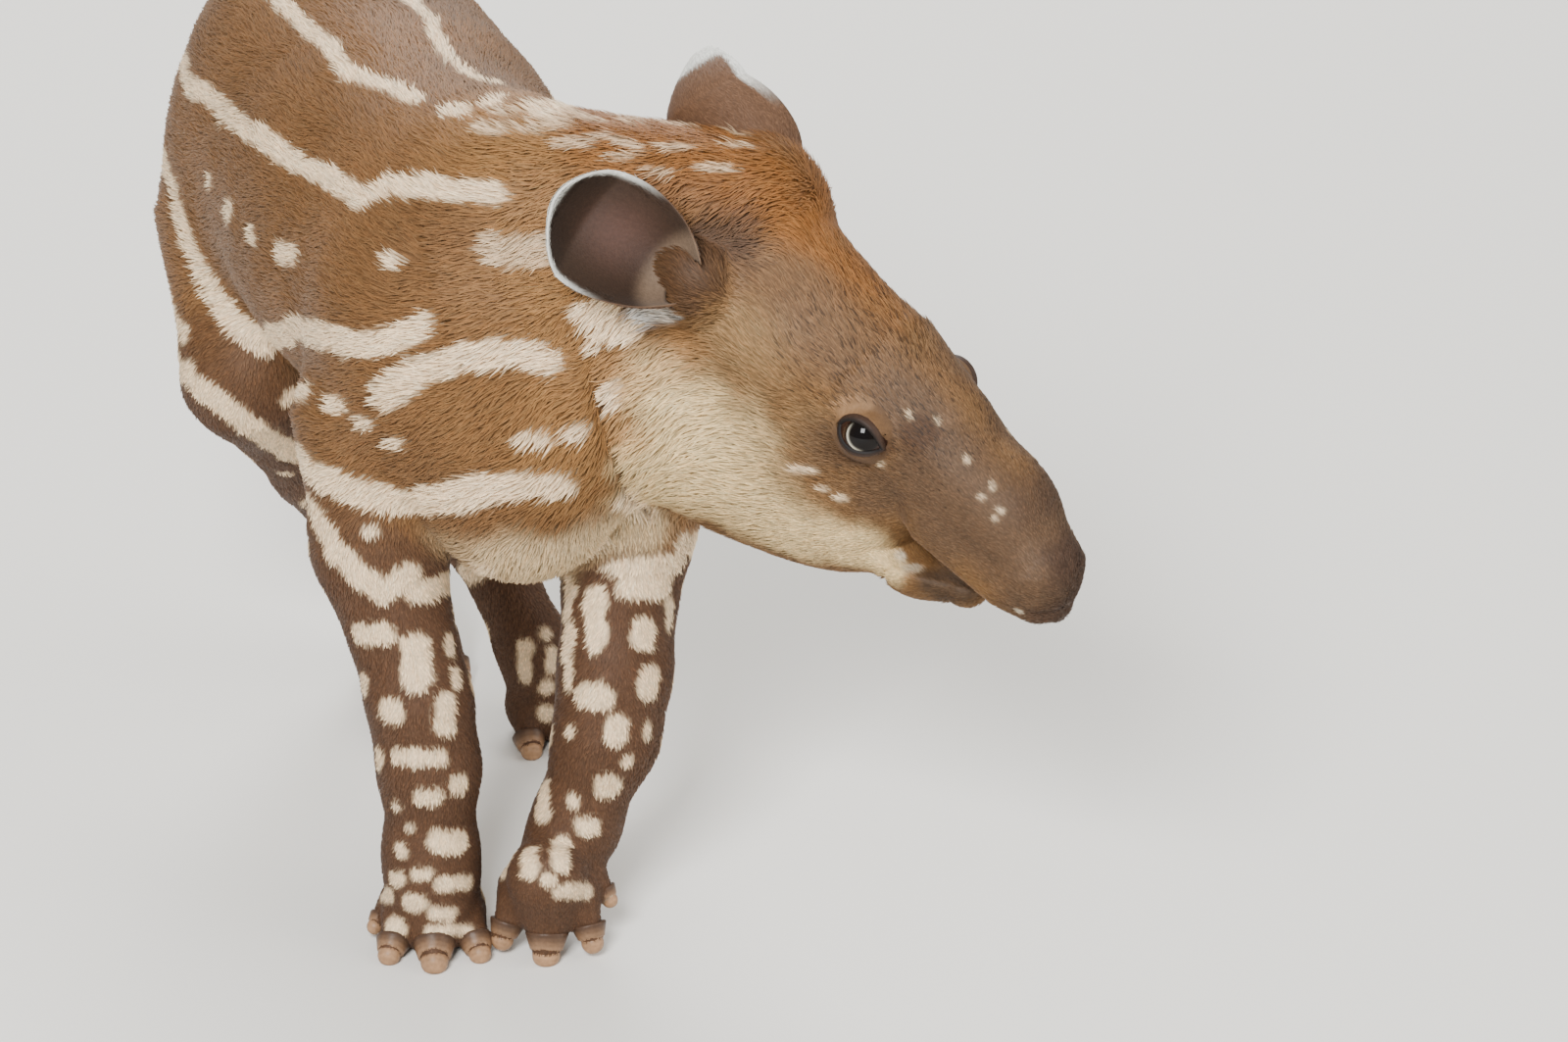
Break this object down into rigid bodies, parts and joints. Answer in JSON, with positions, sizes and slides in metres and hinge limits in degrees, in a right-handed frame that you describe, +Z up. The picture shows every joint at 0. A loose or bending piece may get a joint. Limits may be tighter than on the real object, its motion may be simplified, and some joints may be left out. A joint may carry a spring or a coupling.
{
  "type": "young lowland tapir figure",
  "caption": "Life-size young lowland tapir, standing still with lowered, turned head: barrel body, rounded cupped ears, short trunk-like snout, toed hooves and stub tail.",
  "frame": {"origin": "centre of the model's footprint box, on the floor", "axes": "+Z up; the body faces -Y and its left side is +X; the head is turned towards +X"},
  "size_m": [0.3116, 0.5372, 0.3975],
  "materials": {
    "coat": "short red-brown fur with cream stripes and spots",
    "dark_skin": "short grey-brown fur over bare-looking skin",
    "ear_skin": "thin skin with short fur, white at the rim",
    "horn": "dull horn",
    "eye": "wet dark eye"
  },
  "bodies": {
    "root": {"ear_left": "ear_skin", "ear_right": "ear_skin", "eye_left": "eye", "eye_right": "eye", "eyelids_left": "dark_skin", "eyelids_right": "dark_skin", "head": "coat", "left_forefoot": "coat", "left_forefoot_hoof_inner": "horn", "left_forefoot_hoof_middle": "horn", "left_forefoot_hoof_outer": "horn", "left_forefoot_hoof_side": "horn", "left_foreleg_lower": "coat", "left_foreleg_upper": "coat", "left_hindfoot": "coat", "left_hindfoot_hoof_inner": "horn", "left_hindfoot_hoof_middle": "horn", "left_hindfoot_hoof_outer": "horn", "left_hindleg_lower": "coat", "left_hindleg_upper": "coat", "lower_jaw": "dark_skin", "neck": "coat", "proboscis": "dark_skin", "right_forefoot": "coat", "right_forefoot_hoof_inner": "horn", "right_forefoot_hoof_middle": "horn", "right_forefoot_hoof_outer": "horn", "right_forefoot_hoof_side": "horn", "right_foreleg_lower": "coat", "right_foreleg_upper": "coat", "right_hindfoot": "coat", "right_hindfoot_hoof_inner": "horn", "right_hindfoot_hoof_middle": "horn", "right_hindfoot_hoof_outer": "horn", "right_hindleg_lower": "coat", "right_hindleg_upper": "coat", "tail": "coat", "torso": "coat"}
  },
  "joints": []
}
